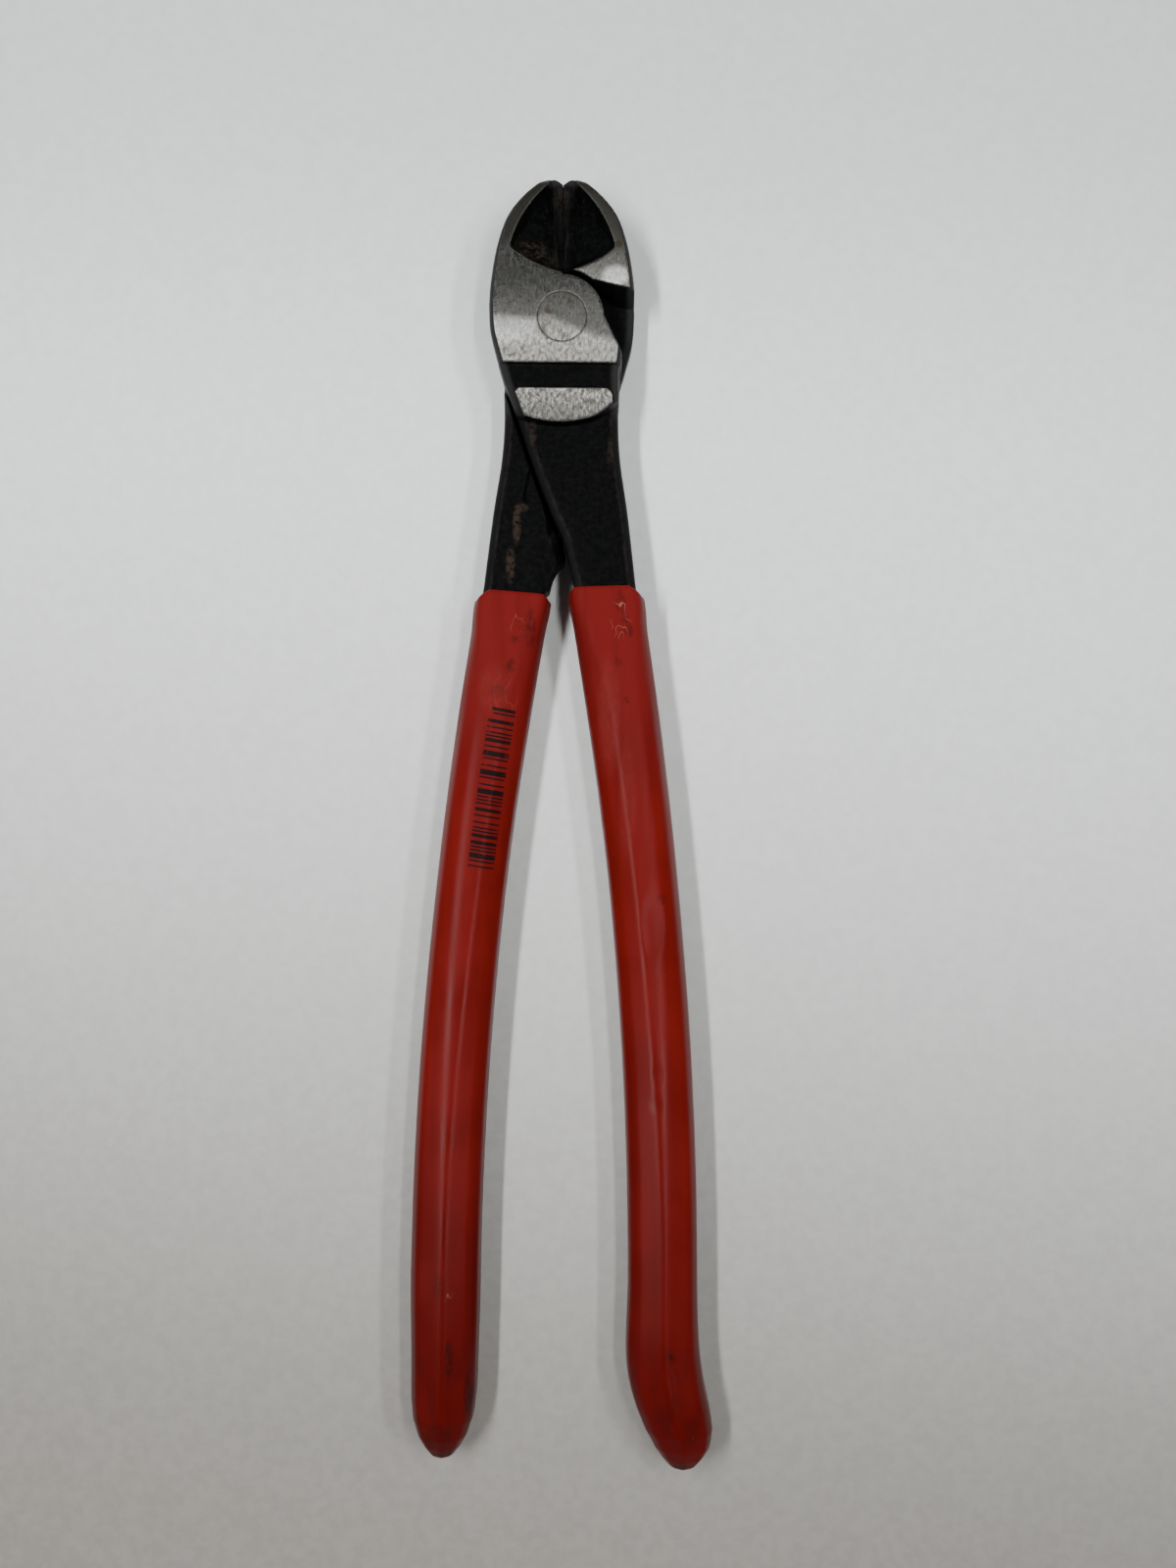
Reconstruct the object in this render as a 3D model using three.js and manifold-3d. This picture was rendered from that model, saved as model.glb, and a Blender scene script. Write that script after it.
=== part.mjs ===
// High-leverage diagonal cutting pliers, 250 mm long, closed.
// Two forged halves lap over each other at one rivet, and each handle wears a dipped sleeve.
// Millimetres, +Z up. The origin is on the rivet's axis, in the plane of the underside.
// +Y points at the jaw tips, so the handles run toward -Y.

import * as THREE from 'three';
import { mergeVertices } from 'three/addons/utils/BufferGeometryUtils.js';
import { ConvexGeometry } from 'three/addons/geometries/ConvexGeometry.js';
import Module from 'manifold-3d';

const wasm = await Module();
wasm.setup();

// Thickness, from the underside up
const HEAD_THICK = 12;
const LAP_Z = HEAD_THICK / 2;
const TANG_HALF_THICK = 4;
const BAND_DEPTH = 0.8;
const GAP = 0.3;

// Head silhouette: a round lobe at each jaw's tip, widest just above the pivot
const LOBE_X = 1.5;
const LOBE_RADIUS = 1.9;
const TIP_Y = 27.4;
const WIDEST_Y = 2.5;
const HEAD_HALF_WIDTH = 14;
const HEAD_BEVEL = 0.9;
const TANG_BEVEL = 1.6;

// Joint
const RIVET_RADIUS = 4.3;
const PLATE_RADIUS = 8.1;
const SHOULDER_RADIUS = 9;
const SWING_RADIUS = 15.2;
const BAND_TOP_Y = -8.8;
const BAND_BOTTOM_Y = -13.4;

// Handles: the spine is an arc of large radius that ends straight, then steps outward
const SPINE_X = 21.1;
const SPINE_Y = -190;
const SPINE_RADIUS = 760;
const BEND_LOW_Y = -219;
const BEND_SHARPNESS = 2.2;
const RIGHT = { side: 1, flare: 4.1, endHalf: 7.2, endY: -221.4 };
const LEFT = { side: -1, flare: 0.3, endHalf: 6.4, endY: -219.5 };

// Tangs, as far as the sleeves cover them
const TANG_TOP_HALF = 6.1;
const TANG_END_HALF = 5.2;
const TANG_END_Y = -209;
const TANG_END_TAPER = 1.5;
const TANG_COVERED_Y = -62;
const TANG_INNER_MOUTH = [2.1, -49.4];
const TANG_OUTER_MOUTH = [14.6, -50.5];

// Sleeves
const MOUTH_Y = -51;
const CORE_OPEN_Y = -46;
const SLEEVE_TOP_HALF = 7.1;
const SLEEVE_HALF = 6.65;
const NARROWING = 60;
const END_SWELL_Y = [-185, -204];
const STATION_STEP = 12;
const SECTION_POINTS = 20;
const SQUARENESS = 0.62;
const DOME_HEIGHT_POWER = 0.8;

// The closed end of a sleeve: distance from the end, and share of the full width
const DOME = [[18, 1], [12, 0.98], [8, 0.91], [4.6, 0.75], [2.5, 0.57], [0.7, 0.37], [0, 0.22]];

// Jaw hollows
const EDGE_Z = 4.6;
const EDGE_START_Y = 12.2;
const FACET_Z = 6.05;
const FACET_START_Y = 11.4;
const RIM_RISE = 1.05;
const RIM_MIDDLE_Y = 15;
const BEVEL_TOP_Z = 7.4;
const BEVEL_HALF_WIDTH = 2.2;
const BACK_HALF_WIDTH = 4.1;
const POCKET_DEPTH = 1.2;

const FAR = 300;
const CURVE_STEPS = 5;
const ROUND_STEPS = 48;
const BEVEL_STEPS = 2;
const SAME_POINT = 0.02;

// ---- solids -------------------------------------------------------------------------------

function toSolid(geometry) {
  const bare = geometry.clone();
  bare.deleteAttribute('normal');
  bare.deleteAttribute('uv');
  const merged = mergeVertices(bare, 1e-4);
  const mesh = new wasm.Mesh({
    numProp: 3,
    vertProperties: new Float32Array(merged.attributes.position.array),
    triVerts: new Uint32Array(merged.index.array),
  });
  return new wasm.Manifold(mesh);
}

function toGeometry(solid) {
  const mesh = solid.getMesh();
  const geometry = new THREE.BufferGeometry();
  geometry.setAttribute('position', new THREE.BufferAttribute(mesh.vertProperties, 3));
  geometry.setIndex(new THREE.BufferAttribute(mesh.triVerts, 1));
  return geometry;
}

// The outline without the doubled points where one curve ends and the next begins
function cleanOutline(shape) {
  const kept = [];
  for (const point of shape.getPoints(CURVE_STEPS)) {
    if (!kept.some((other) => other.distanceTo(point) < SAME_POINT)) kept.push(point);
  }
  return new THREE.Shape(kept);
}

// A flat outline raised from z = low to z = high. The bevel stays inside the outline.
function slab(shape, low, high, bevel = 0) {
  const geometry = new THREE.ExtrudeGeometry(cleanOutline(shape), {
    depth: high - low - 2 * bevel,
    bevelEnabled: bevel > 0,
    bevelThickness: bevel,
    bevelSize: bevel,
    bevelOffset: -bevel,
    bevelSegments: BEVEL_STEPS,
  });
  geometry.translate(0, 0, low + bevel);
  return toSolid(geometry);
}

function box(x0, x1, y0, y1, z0, z1) {
  const geometry = new THREE.BoxGeometry(x1 - x0, y1 - y0, z1 - z0);
  geometry.translate((x0 + x1) / 2, (y0 + y1) / 2, (z0 + z1) / 2);
  return toSolid(geometry);
}

function postOnPivot(radius, low, high) {
  const geometry = new THREE.CylinderGeometry(radius, radius, high - low, ROUND_STEPS);
  geometry.rotateX(Math.PI / 2);
  geometry.translate(0, 0, (low + high) / 2);
  return toSolid(geometry);
}

// One solid through a row of convex sections
function hullChain(sections) {
  let solid = null;
  for (let i = 0; i + 1 < sections.length; i += 1) {
    const link = toSolid(new ConvexGeometry([...sections[i], ...sections[i + 1]]));
    solid = solid ? solid.add(link) : link;
  }
  return solid;
}

// Half a turn about the Y axis through the lap plane takes one forging to the other
function turnOver(solid) {
  return solid.rotate([0, 180, 0]).translate([0, 0, HEAD_THICK]);
}

const vectors = (pairs) => pairs.map(([x, y]) => new THREE.Vector2(x, y));

// ---- outlines of one forging (jaw on the left, handle on the right) -----------------------

function headShape() {
  const shape = new THREE.Shape();
  shape.absarc(-LOBE_X, TIP_Y - LOBE_RADIUS, LOBE_RADIUS, 0, Math.PI / 2, false);
  shape.splineThru(vectors([
    [-2.9, 26.8], [-5.2, 24.9], [-9.4, 20.9], [-12.3, 14.2], [-13.8, 6],
    [-HEAD_HALF_WIDTH, WIDEST_Y], [-13, -5.3], [-10.5, -13.5], [-8.6, -18.4],
  ]));
  shape.quadraticCurveTo(-1.8, -23.7, 11.05, -17);
  shape.lineTo(11.6, -7);
  shape.lineTo(12, WIDEST_Y);
  return shape;
}

// The space that belongs to the other jaw, at every height
function otherJawShape() {
  const shape = new THREE.Shape();
  shape.moveTo(-GAP / 2, FAR);
  shape.lineTo(-GAP / 2, PLATE_RADIUS);
  shape.absarc(0, 0, PLATE_RADIUS, Math.PI / 2, 0.1, true);
  shape.lineTo(11.2, -5.8);
  shape.quadraticCurveTo(12, -7.1, 12.2, -8);
  shape.lineTo(FAR, -8);
  shape.lineTo(FAR, FAR);
  return shape;
}

// Under the lap, everything below the jaw's shoulder belongs to the other half
function underHeadShape() {
  const shape = new THREE.Shape();
  const shoulderAngle = THREE.MathUtils.degToRad(130);
  shape.moveTo(-FAR, 4.2);
  shape.lineTo(-12.4, 5.4);
  shape.absarc(0, 0, SHOULDER_RADIUS, shoulderAngle, Math.PI / 2, true);
  shape.lineTo(FAR, SHOULDER_RADIUS);
  shape.lineTo(FAR, -FAR);
  shape.lineTo(-FAR, -FAR);
  return shape;
}

function spineX(y, flare) {
  const curve = Math.max(y - SPINE_Y, 0) ** 2 / (2 * SPINE_RADIUS);
  const bend = THREE.MathUtils.smoothstep(-y, -SPINE_Y, -BEND_LOW_Y) ** BEND_SHARPNESS;
  return SPINE_X - curve + flare * bend;
}

function tangHalf(y) {
  return THREE.MathUtils.mapLinear(y, MOUTH_Y, TANG_END_Y, TANG_TOP_HALF, TANG_END_HALF);
}

// One side of the tang as far as the sleeve covers it, from the mouth down
function tangSidePoints(flare, margin, sign) {
  const points = [];
  for (let y = TANG_COVERED_Y; y > TANG_END_Y; y -= STATION_STEP) {
    points.push([spineX(y, flare) + sign * (tangHalf(y) + margin), y]);
  }
  const endHalf = TANG_END_HALF - TANG_END_TAPER + margin;
  points.push([spineX(TANG_END_Y, flare) + sign * endHalf, TANG_END_Y - margin]);
  return points;
}

function tangShape(flare) {
  const shape = new THREE.Shape();
  shape.moveTo(-12.2, -8);
  shape.lineTo(-11.3, -11);
  shape.splineThru(vectors([[-8.9, -17.6], [-5.7, -27], [0.1, -41.5], TANG_INNER_MOUTH]));
  tangSidePoints(flare, 0, -1).forEach(([x, y]) => shape.lineTo(x, y));
  tangSidePoints(flare, 0, 1).reverse().forEach(([x, y]) => shape.lineTo(x, y));
  shape.lineTo(...TANG_OUTER_MOUTH);
  shape.splineThru(vectors([[13, -36.6], [11.4, -26], [11.05, -17], [11.4, -10]]));
  shape.lineTo(11.6, -6);
  return shape;
}

// Under the lap, everything left of this line belongs to the other half's tang
function underTangShape() {
  const shape = new THREE.Shape();
  shape.moveTo(-FAR, -5);
  shape.lineTo(12.8, -8);
  shape.splineThru(vectors([
    [10.6, -14.5], [8.5, -21], [6.4, -27], [3.2, -36], [2.3, -42], [2.5, -50],
  ]));
  shape.lineTo(2.5, -FAR);
  shape.lineTo(-FAR, -FAR);
  return shape;
}

// ---- the forgings -------------------------------------------------------------------------

function forgingBlank(flare) {
  const underHead = slab(underHeadShape(), -1, LAP_Z + GAP / 2);
  const underTang = slab(underTangShape(), -1, LAP_Z + GAP / 2);
  const otherJaw = slab(otherJawShape(), -1, HEAD_THICK + 1);
  const swing = postOnPivot(SWING_RADIUS, -1, LAP_Z + GAP / 2);
  const head = slab(headShape(), 0, HEAD_THICK, HEAD_BEVEL)
    .subtract(otherJaw)
    .subtract(underHead);
  const tang = slab(tangShape(flare), LAP_Z - TANG_HALF_THICK, LAP_Z + TANG_HALF_THICK, TANG_BEVEL)
    .subtract(otherJaw)
    .subtract(underTang)
    .subtract(swing);
  const band = box(-FAR, FAR, BAND_BOTTOM_Y, BAND_TOP_Y, HEAD_THICK - BAND_DEPTH, FAR);
  const rivetHole = postOnPivot(RIVET_RADIUS + GAP, -1, HEAD_THICK + 1);
  return head.add(tang).subtract(band).subtract(rivetHole);
}

const lift = (pairs, z) => pairs.map(([x, y]) => new THREE.Vector3(x, y, z));

// The hollow on the top face: broad facets that fall to the cutting bevels
function frontHollow() {
  const half = [
    [1.7, 25.9], [6.5, 20.9], [8.9, 16.4], [9.7, 14.1], [9.4, 12.9], [8.2, 11.6], [3, 9.5],
  ];
  const rim = [...half, ...half.map(([x, y]) => [-x, y]), [0, 8.8]];
  const raised = rim.map(([x, y]) => [x * RIM_RISE, (y - RIM_MIDDLE_Y) * RIM_RISE + RIM_MIDDLE_Y]);
  const facets = hullChain([
    lift([[0, FACET_START_Y], [0, TIP_Y + 1]], FACET_Z),
    lift(rim, HEAD_THICK),
    lift(raised, HEAD_THICK + 1),
  ]);
  const bevels = new ConvexGeometry([
    ...lift([[0, EDGE_START_Y], [0, TIP_Y + 1]], EDGE_Z),
    ...lift([
      [-BEVEL_HALF_WIDTH, EDGE_START_Y], [BEVEL_HALF_WIDTH, EDGE_START_Y],
      [-BEVEL_HALF_WIDTH, TIP_Y + 1], [BEVEL_HALF_WIDTH, TIP_Y + 1],
    ], BEVEL_TOP_Z),
  ]);
  return facets.add(toSolid(bevels));
}

// The narrower groove on the underside
function backHollow() {
  const top = lift([[0, EDGE_START_Y], [0, TIP_Y + 1]], EDGE_Z);
  const mouth = [
    [-BACK_HALF_WIDTH, 14], [-2, 11], [2, 11], [BACK_HALF_WIDTH, 14], [BACK_HALF_WIDTH, 22],
    [2.2, TIP_Y + 1], [-2.2, TIP_Y + 1], [-BACK_HALF_WIDTH, 22],
  ];
  return hullChain([top, lift(mouth, 0), lift(mouth, -1)]);
}

// The small three-cornered recess beside the crossing
function pocket() {
  const shape = new THREE.Shape();
  shape.moveTo(-5.6, -27.5);
  shape.lineTo(-7.1, -33.4);
  shape.quadraticCurveTo(-7.4, -34.8, -6, -34.9);
  shape.lineTo(0, -35.3);
  shape.lineTo(0, -27.5);
  return slab(shape, LAP_Z + TANG_HALF_THICK - POCKET_DEPTH, HEAD_THICK + 1);
}

// The web that closes the crotch between the tangs, on the lower half only
function crotchWeb() {
  const shape = new THREE.Shape();
  shape.moveTo(-3, -40);
  shape.lineTo(-0.8, -40);
  shape.lineTo(1.1, -45.6);
  shape.quadraticCurveTo(-0.9, -46.8, -2.4, -50.4);
  shape.lineTo(-5, -50.4);
  return slab(shape, LAP_Z - TANG_HALF_THICK + TANG_BEVEL, LAP_Z - GAP / 2);
}

const hollows = frontHollow().add(backHollow());
const upperHalf = forgingBlank(RIGHT.flare)
  .subtract(turnOver(pocket()))
  .subtract(hollows);
const lowerHalf = turnOver(forgingBlank(LEFT.flare))
  .add(crotchWeb())
  .subtract(pocket())
  .subtract(hollows);

// ---- the sleeves --------------------------------------------------------------------------

function domeShare(y, endY) {
  const rise = y - endY;
  const above = DOME.findIndex(([distance]) => distance <= rise);
  if (above === 0) return 1;
  const [[d1, share1], [d0, share0]] = [DOME[above - 1], DOME[above]];
  return THREE.MathUtils.mapLinear(rise, d0, d1, share0, share1);
}

// A rounded section across the handle
function sleeveSection({ side, flare, endHalf, endY }, y) {
  const { lerp, clamp, smoothstep } = THREE.MathUtils;
  const dome = domeShare(y, endY);
  const body = lerp(SLEEVE_TOP_HALF, SLEEVE_HALF, clamp((MOUTH_Y - y) / NARROWING, 0, 1));
  const swell = smoothstep(-y, -END_SWELL_Y[0], -END_SWELL_Y[1]);
  const half = lerp(body, endHalf, swell) * dome;
  const height = LAP_Z * dome ** DOME_HEIGHT_POWER;
  const squarish = (value) => Math.sign(value) * Math.abs(value) ** SQUARENESS;
  const outermost = squarish(Math.cos(Math.PI / SECTION_POINTS));
  const points = [];
  for (let i = 0; i < SECTION_POINTS; i += 1) {
    const angle = ((i + 0.5) / SECTION_POINTS) * 2 * Math.PI;
    const across = (half * squarish(Math.cos(angle))) / outermost;
    const up = (height * squarish(Math.sin(angle))) / outermost;
    points.push(new THREE.Vector3(side * (spineX(y, flare) + across), y, LAP_Z + up));
  }
  return points;
}

function sleeve(handle) {
  const stations = DOME.map(([distance]) => handle.endY + distance);
  for (let y = MOUTH_Y; y > stations[0]; y -= STATION_STEP) stations.push(y);
  stations.sort((a, b) => b - a);
  const skin = hullChain(stations.map((y) => sleeveSection(handle, y)));
  const shape = new THREE.Shape();
  const inner = tangSidePoints(handle.flare, GAP, -1);
  const outer = tangSidePoints(handle.flare, GAP, 1).reverse();
  shape.moveTo(TANG_INNER_MOUTH[0] - GAP, TANG_INNER_MOUTH[1]);
  inner.forEach(([x, y]) => shape.lineTo(x, y));
  outer.forEach(([x, y]) => shape.lineTo(x, y));
  shape.lineTo(TANG_OUTER_MOUTH[0] + GAP, TANG_OUTER_MOUTH[1]);
  shape.lineTo(TANG_OUTER_MOUTH[0], CORE_OPEN_Y);
  shape.lineTo(TANG_INNER_MOUTH[0] - 2 * GAP, CORE_OPEN_Y);
  const reach = TANG_HALF_THICK + GAP;
  const core = slab(shape, LAP_Z - reach, LAP_Z + reach, TANG_BEVEL);
  return skin.subtract(handle.side > 0 ? core : turnOver(core));
}

// ---- assembly -----------------------------------------------------------------------------

const forgedSteel = { color: 0x1b1b1c, roughness: 0.5, metalness: 0.85 };
const groundSteel = { color: 0x8e8b85, roughness: 0.32, metalness: 0.95 };
const redDip = { color: 0xa31c12, roughness: 0.28, metalness: 0 };

const group = new THREE.Group();

function addPiece(name, solid, material) {
  const piece = new THREE.Mesh(toGeometry(solid), new THREE.MeshStandardMaterial(material));
  piece.name = name;
  group.add(piece);
}

addPiece('upper_half', upperHalf, forgedSteel);
addPiece('lower_half', lowerHalf, forgedSteel);
addPiece('pivot_rivet', postOnPivot(RIVET_RADIUS, 0, HEAD_THICK), groundSteel);
addPiece('upper_half_grip', sleeve(RIGHT), redDip);
addPiece('lower_half_grip', sleeve(LEFT), redDip);

export default group;
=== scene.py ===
import math

import bpy
import numpy as np
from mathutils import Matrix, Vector


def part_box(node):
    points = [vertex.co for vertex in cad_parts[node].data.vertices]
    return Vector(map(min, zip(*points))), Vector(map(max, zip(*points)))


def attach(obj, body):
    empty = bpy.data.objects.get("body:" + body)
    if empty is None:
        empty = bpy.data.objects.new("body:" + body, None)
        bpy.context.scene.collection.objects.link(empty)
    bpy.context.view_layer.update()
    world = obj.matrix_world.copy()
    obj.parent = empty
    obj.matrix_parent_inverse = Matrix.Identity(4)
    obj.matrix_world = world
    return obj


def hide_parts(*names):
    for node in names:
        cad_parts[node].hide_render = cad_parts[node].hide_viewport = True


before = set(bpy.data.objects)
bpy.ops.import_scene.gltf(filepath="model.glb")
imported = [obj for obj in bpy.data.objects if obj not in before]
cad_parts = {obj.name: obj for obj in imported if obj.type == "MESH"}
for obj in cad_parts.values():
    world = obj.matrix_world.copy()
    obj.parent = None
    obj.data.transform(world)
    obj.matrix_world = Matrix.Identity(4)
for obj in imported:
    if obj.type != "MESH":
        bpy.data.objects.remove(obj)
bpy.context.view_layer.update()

# Looks of a pair of 250 mm high-leverage diagonal cutting pliers, closed and lying on a table.
# The shapes are worked out in millimetres in the frame's own axes: the pivot axis is X = Y = 0,
# the underside is Z = 0, the jaws point to +Y and the handles run to -Y.

MM = 0.001

# ---- driving sizes, the same as the frame's ------------------------------------------------

head_low, head_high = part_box("upper_half")
HEAD_THICK = round(head_high.z / MM, 3)
LAP_Z = HEAD_THICK / 2
TIP_Y = 27.4
LOBE_X = 1.5
LOBE_RADIUS = 1.9
WIDEST_Y = 2.5
HEAD_HALF_WIDTH = 14
PLATE_RADIUS = 8.1
SHOULDER_RADIUS = 9
SWING_RADIUS = 15.2
RIVET_RADIUS = 4.55
BAND_TOP_Y = -8.83
BAND_BOTTOM_Y = -13.4
BAND_DEPTH = 0.8
LOW_LAND_INSET = 1.15
TANG_HALF_THICK = 4.0
EDGE_GAP = 0.015
LAP_GAP = 0.05

SPINE_X = 21.1
SPINE_Y = -190
SPINE_RADIUS = 760
MOUTH_Y = -50.3
BEND_LOW_Y = -219
BEND_SHARPNESS = 2.2
RIGHT = {"side": 1, "flare": 4.1, "end_half": 7.3, "end_y": -221.4}
LEFT = {"side": -1, "flare": 0.3, "end_half": 6.45, "end_y": -219.5}

FAR = 60


# ---- outlines ------------------------------------------------------------------------------

def arc(cx, cy, rx, ry, start, end, steps=24):
    """Points on an ellipse, with the angles in degrees."""
    angles = np.radians(np.linspace(start, end, steps + 1))
    return [(cx + rx * math.cos(a), cy + ry * math.sin(a)) for a in angles]


def spline(points, steps=8):
    """A smooth curve through the points (uniform Catmull-Rom)."""
    p = np.array(points, float)
    p = np.vstack([2 * p[0] - p[1], p, 2 * p[-1] - p[-2]])
    out = []
    for i in range(1, len(p) - 2):
        a, b, c, d = p[i - 1], p[i], p[i + 1], p[i + 2]
        for t in np.linspace(0, 1, steps, endpoint=False):
            out.append(tuple(0.5 * (
                2 * b + (c - a) * t + (2 * a - 5 * b + 4 * c - d) * t ** 2
                + (3 * b - a - 3 * c + d) * t ** 3
            )))
    out.append(tuple(p[-2]))
    return out


def head_outline():
    """Jaw, lap plate and left side of the head of the upper half."""
    top = [(12, 20), (6, TIP_Y)]
    side = spline([
        (-1.6, TIP_Y), (-2.9, 26.95), (-4.2, 26.0), (-5.5, 24.95), (-6.7, 23.95), (-8.1, 22.55),
        (-9.7, 20.6), (-11.1, 18.1), (-12.4, 14.2), (-13.25, 10.2), (-13.8, 6), (-HEAD_HALF_WIDTH, WIDEST_Y),
    ])
    flank = spline([(-HEAD_HALF_WIDTH, WIDEST_Y), (-13.75, -2), (-12.95, -5.5), (-11.7, -9.8), (-10.5, -13.5), (-8.4, -18.9)])
    foot = [(-7.0, -23), (11.1, -23)]
    right = spline([(11.05, -17), (10.9, -12), (10.95, -9.6), (11.5, -7.4), (12, WIDEST_Y)])
    return top + side + flank[1:] + foot + right


def other_jaw_outline():
    """The space of the other jaw, beside the cutting edge and the lap plate."""
    plate = arc(0, 0, PLATE_RADIUS, PLATE_RADIUS, 90, 3, 24)
    corner = spline([(11.1, -5.7), (11.6, -6.6), (11.75, -7.5), (12.3, -9)])
    return [(-EDGE_GAP, FAR), (-EDGE_GAP, PLATE_RADIUS)] + plate[1:] + corner + [(FAR, -9), (FAR, FAR)]


def under_head_outline():
    """The space under the lap that belongs to the other half, up to the jaw's shoulder."""
    collar = arc(0, 0, SHOULDER_RADIUS, SHOULDER_RADIUS, 129, 90, 12)
    return [(-FAR, 4.2), (-12.45, 5.45)] + collar + [(FAR, SHOULDER_RADIUS), (FAR, -FAR), (-FAR, -FAR)]


def tang_outline():
    """The right tang, cut off inside the sleeve."""
    left = spline([(-12.2, -8), (-11.0, -11.9), (-8.9, -17.6), (-5.7, -27), (-1.9, -36.7), (0.5, -42), (2.4, -49.4)])
    right = spline([(14.6, -50.5), (13.0, -37), (11.5, -27), (11.0, -20), (11.1, -14), (11.6, -7)])
    return left + [(3.6, -58), (15.7, -58)] + right


def under_tang_outline():
    """Under the lap, the space of the other tang."""
    edge = spline([(12.8, -8), (10.6, -14.5), (8.5, -21), (6.4, -27), (3.2, -36), (2.3, -42), (2.6, -50)])
    return [(-FAR, -5)] + edge + [(2.9, -FAR), (-FAR, -FAR)]


POCKET_OUTLINE = [
    (-5.7, -27.5), (-6.4, -30.3), (-7.05, -33.6), (-6.9, -34.5), (-6.2, -34.9), (-2, -35.1), (0.5, -35.3), (0, -27.5),
]
CROTCH_OUTLINE = [
    (-5, -30), (-3.2, -30), (-0.2, -40), (0.9, -44.4), (0.8, -45.7), (0.3, -46.3), (-0.41, -47), (-1.1, -48.2),
    (-1.6, -49.4), (-2.2, -51.8), (-6, -52.3), (-6, -38),
]


# ---- distance fields and surface nets ------------------------------------------------------

def outline_distance(outline, x, y):
    """Signed distance from every (x, y) to a closed outline, negative inside."""
    points = np.array(outline, float)
    nearest = np.full(x.shape, 1e9)
    inside = np.zeros(x.shape, bool)
    for (ax, ay), (bx, by) in zip(points, np.roll(points, -1, axis=0)):
        ex, ey = bx - ax, by - ay
        length = ex * ex + ey * ey
        if length < 1e-12:
            continue
        t = np.clip(((x - ax) * ex + (y - ay) * ey) / length, 0, 1)
        nearest = np.minimum(nearest, (x - ax - ex * t) ** 2 + (y - ay - ey * t) ** 2)
        if ay != by:
            inside ^= ((ay > y) != (by > y)) & (x < ex * (y - ay) / ey + ax)
    return np.where(inside, -1.0, 1.0) * np.sqrt(nearest)


def join(a, b, fillet):
    """Union of two fields with a fillet."""
    h = np.clip(0.5 + 0.5 * (b - a) / fillet, 0, 1)
    return b + (a - b) * h - fillet * h * (1 - h)


def meet(a, b, rounding):
    """Intersection of two fields with a rounded edge."""
    return -join(-a, -b, rounding)


def rounded_slab(edge, flat, radius):
    """An outline's distance and a height's distance made into a slab with round edges."""
    u = edge + radius
    v = flat + radius
    corner = np.sqrt(np.maximum(u, 0) ** 2 + np.maximum(v, 0) ** 2)
    return corner + np.minimum(np.maximum(u, v), 0) - radius


def ramp(value, low, high):
    t = np.clip((value - low) / (high - low), 0, 1)
    return t * t * (3 - 2 * t)


def surface_net(field, origin, cell):
    """Vertices and outward quads of field = 0 over a regular grid."""
    shape = np.array(field.shape) - 1
    ids, spots, rings = [], [], []
    for axis in range(3):
        low = field[tuple(slice(0, -1) if k == axis else slice(None) for k in range(3))]
        high = field[tuple(slice(1, None) if k == axis else slice(None) for k in range(3))]
        where = np.argwhere((low < 0) != (high < 0))
        a = low[tuple(where.T)]
        b = high[tuple(where.T)]
        spot = where.astype(float)
        spot[:, axis] += a / (a - b)
        around = []
        for du, dv in ((0, 0), (1, 0), (1, 1), (0, 1)):
            corner = where.copy()
            corner[:, (axis + 1) % 3] -= du
            corner[:, (axis + 2) % 3] -= dv
            around.append(np.ravel_multi_index(corner.T, shape))
        ring = np.stack(around, axis=1)
        ring[a >= 0] = ring[a >= 0][:, ::-1]
        rings.append(ring)
        ids.append(np.stack(around, axis=1).ravel())
        spots.append(np.repeat(spot, 4, axis=0))
    names, places = np.unique(np.concatenate(ids), return_inverse=True)
    spots = np.concatenate(spots)
    count = np.bincount(places)
    vertices = np.stack([np.bincount(places, spots[:, k]) / count for k in range(3)], axis=1)
    quads = np.searchsorted(names, np.concatenate(rings))
    return vertices * cell + np.array(origin), quads


def make_mesh(name, vertices, faces, material, smooth=True):
    """A mesh object from vertices in millimetres and faces of one length."""
    mesh = bpy.data.meshes.new(name)
    faces = np.asarray(faces)
    sides = faces.shape[1]
    mesh.vertices.add(len(vertices))
    mesh.vertices.foreach_set("co", (np.asarray(vertices, float) * MM).ravel())
    mesh.loops.add(faces.size)
    mesh.loops.foreach_set("vertex_index", faces.ravel().astype(np.int32))
    mesh.polygons.add(len(faces))
    mesh.polygons.foreach_set("loop_start", np.arange(0, faces.size, sides, dtype=np.int32))
    mesh.polygons.foreach_set("use_smooth", np.full(len(faces), smooth))
    mesh.update(calc_edges=True)
    mesh.validate()
    mesh.materials.append(material)
    piece = bpy.data.objects.new(name, mesh)
    bpy.context.scene.collection.objects.link(piece)
    return piece


def add_attribute(piece, name, values):
    attribute = piece.data.attributes.new(name, "FLOAT", "POINT")
    attribute.data.foreach_set("value", np.asarray(values, np.float32))


# ---- the forged halves ---------------------------------------------------------------------

CELL = 0.2
GRID_X = 16.5
GRID_LOW_Y = -57.0
GRID_HIGH_Y = 28.3


def crescent_distance(x, y):
    """The lower border of the head's raised face: a shallow arc with a tighter right corner."""
    arc_part = np.hypot(x + 0.3, np.minimum(y - 0.6, 0)) - 20.65
    corner = (x - 9.3) * 0.80 + (-17.4 - y) * 0.60
    return meet(arc_part, corner, 2.0)


def notch_distance(x, y):
    """The space outside the round inner corner of the jaw's tip, negative inside that space."""
    middle_y = TIP_Y - LOBE_RADIUS
    outside = LOBE_RADIUS - np.hypot(x + LOBE_X, y - middle_y)
    return np.maximum(outside, np.maximum(middle_y - y, -LOBE_X - x))


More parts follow.
